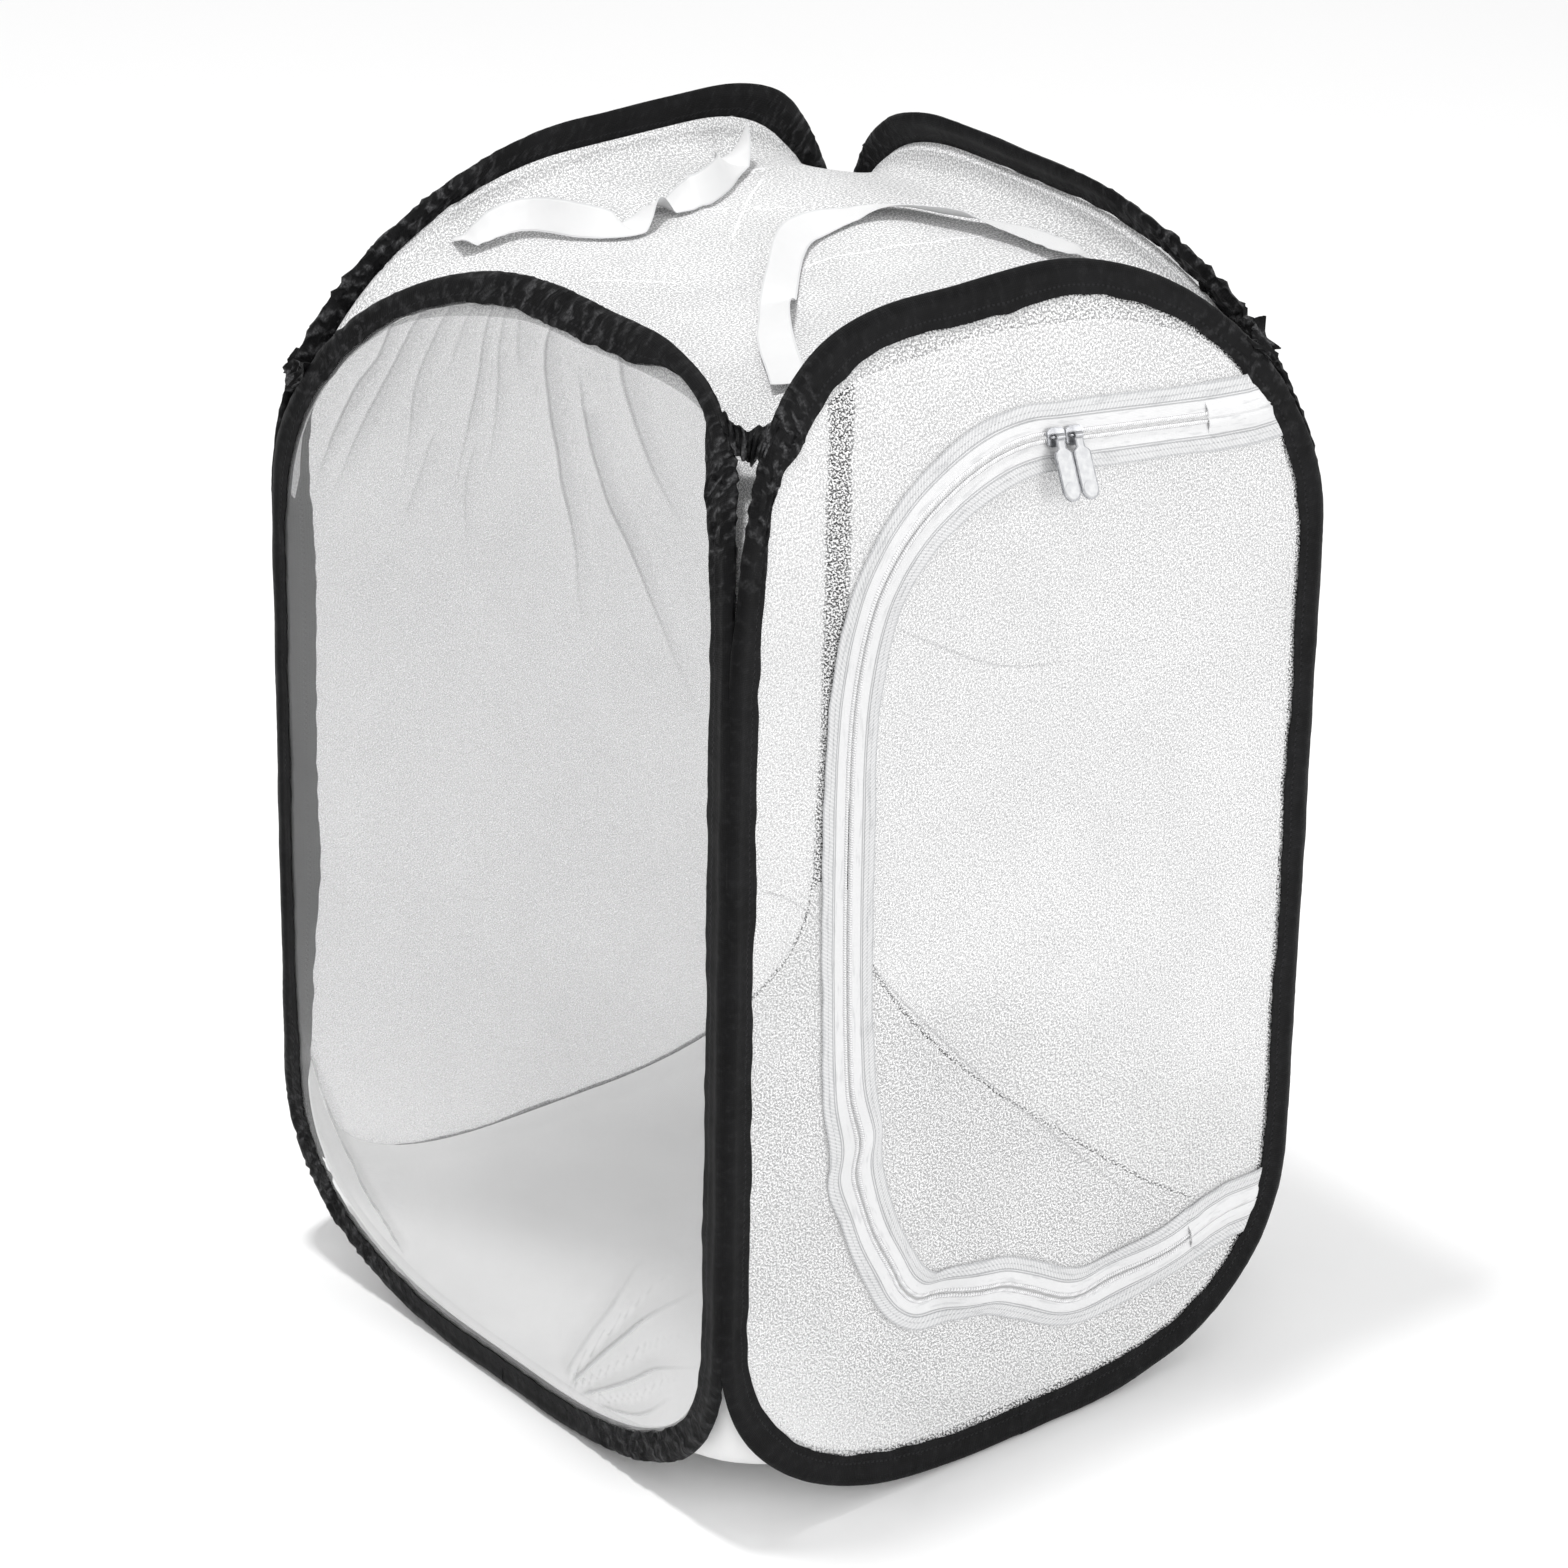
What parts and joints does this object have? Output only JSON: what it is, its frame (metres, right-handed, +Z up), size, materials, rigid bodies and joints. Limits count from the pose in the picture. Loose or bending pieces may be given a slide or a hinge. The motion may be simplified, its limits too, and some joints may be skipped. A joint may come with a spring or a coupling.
{
  "type": "insect cage",
  "caption": "Pop-up insect cage: spring-wire hoops in black tape joined at the corners, white netting, a sheer side, cloth floor, zipped door flap and hanging ribbons.",
  "frame": {"origin": "on the ground under the middle of the cage, on the flat underside of the floor cloth", "axes": "+Z up, -Y out of the front with the door flap, -X out of the sheer side"},
  "size_m": [0.4056, 0.4129, 0.6114],
  "materials": {
    "tape": "black folded polyester tape",
    "steel": "drawn spring wire",
    "netting": "fine white netting",
    "sheer": "smooth sheer white cloth",
    "floor": "plain white woven cloth",
    "zip_tape": "white woven zip tape",
    "zip_coil": "white nylon coil",
    "pull": "bright cast metal",
    "ribbon": "white satin ribbon"
  },
  "bodies": {
    "cage": {"binding_front": "tape", "binding_left": "tape", "binding_right": "tape", "binding_back": "tape", "hoop_wire_front": "steel", "hoop_wire_left": "steel", "hoop_wire_right": "steel", "hoop_wire_back": "steel", "wire_sleeve_front": "steel", "wire_sleeve_left": "steel", "wire_sleeve_right": "steel", "wire_sleeve_back": "steel", "front_mesh_panel": "netting", "left_sheer_panel": "sheer", "right_mesh_panel": "netting", "back_mesh_panel": "netting", "top_mesh_panel": "netting", "floor_panel": "floor", "zip_tape_frame": "zip_tape", "zip_coil_frame": "zip_coil", "zip_end_top_frame": "zip_tape", "zip_end_foot_frame": "zip_tape", "corner_tie_front_left": "tape", "corner_tie_front_right": "tape", "corner_tie_back_right": "tape", "corner_tie_back_left": "tape", "hanging_ribbon_rear": "ribbon", "hanging_ribbon_front": "ribbon"},
    "door": {"door_mesh": "netting", "zip_tape_door": "zip_tape", "zip_coil_door": "zip_coil", "zip_end_top_door": "zip_tape", "zip_end_foot_door": "zip_tape"},
    "slider_left": {"slider_a": "pull"},
    "slider_right": {"slider_b": "pull"},
    "pull_left": {"pull_a": "pull"},
    "pull_right": {"pull_b": "pull"}
  },
  "joints": [
    {"name": "door_hinge", "type": "hinge", "parent": "cage", "child": "door", "pos_m": [0.14601, -0.1905, 0.30042], "axis": [0, 0, 1], "range_deg": [0, 150]},
    {"name": "slider_left_slide", "type": "slide", "parent": "door", "child": "slider_left", "axis": [0.9918, -0.0441, -0.1202], "range_m": [-0.0075, 0]},
    {"name": "slider_right_slide", "type": "slide", "parent": "door", "child": "slider_right", "axis": [0.9918, -0.0441, -0.1202], "range_m": [0, 0.078]},
    {"name": "pull_left_swing", "type": "hinge", "parent": "slider_left", "child": "pull_left", "pos_m": [0.02015, -0.17584, 0.53973], "axis": [-0.9918, 0.0441, 0.1202], "range_deg": [0, 165]},
    {"name": "pull_right_swing", "type": "hinge", "parent": "slider_right", "child": "pull_right", "pos_m": [0.03148, -0.17638, 0.53833], "axis": [-0.9918, 0.0441, 0.1202], "range_deg": [0, 165]}
  ]
}
